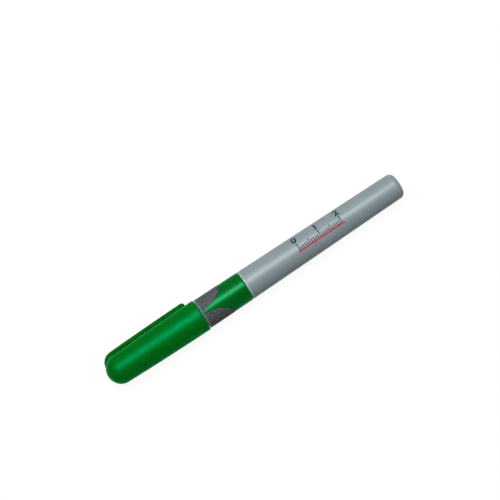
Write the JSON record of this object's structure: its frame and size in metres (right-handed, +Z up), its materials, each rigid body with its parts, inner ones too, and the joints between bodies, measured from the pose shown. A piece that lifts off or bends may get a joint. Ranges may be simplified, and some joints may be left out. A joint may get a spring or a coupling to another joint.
{
  "type": "permanent marker",
  "caption": "Fine-point permanent marker with a domed clip cap, a two-colour grip with soft pads and a tapered barrel, lying on its side.",
  "frame": {"origin": "on the table, under the middle of the marker's bounding box as it lies", "axes": "+X runs along the marker from the cap's dome to the barrel's rear end, +Z is up, and the clip is on the +Y side, with its lower edge on the table"},
  "size_m": [0.138, 0.0154, 0.0135],
  "materials": {
    "cap_green": "satin moulded polypropylene",
    "seal_white": "soft natural polyethylene",
    "grip_green": "polished moulded polypropylene",
    "pad_grey": "fine-grained soft-touch elastomer",
    "nib_felt": "bonded fibre soaked with green ink",
    "reservoir_fibre": "loose fibre bundle soaked with green ink",
    "reservoir_film": "thin clear film",
    "barrel_grey": "satin moulded polypropylene"
  },
  "bodies": {
    "pen": {"barrel": "barrel_grey", "grip_section": "grip_green", "grip_pad": "pad_grey", "nib": "nib_felt", "reservoir_core": "reservoir_fibre", "reservoir_wrap": "reservoir_film"},
    "cap": {"cap_shell": "cap_green", "cap_seal": "seal_white"},
    "clip": {"pocket_clip": "cap_green"}
  },
  "joints": [
    {"name": "cap_slide", "type": "slide", "parent": "pen", "child": "cap", "axis": [-0.9999, 0, 0.014], "range_m": [0, 0.045]},
    {"name": "clip_flex", "type": "hinge", "parent": "cap", "child": "clip", "pos_m": [-0.06398, 0.0054, 0.00299], "axis": [0.0117, 0.5543, 0.8322], "range_deg": [0, 5], "stiffness_Nm_per_rad": 0.05}
  ]
}
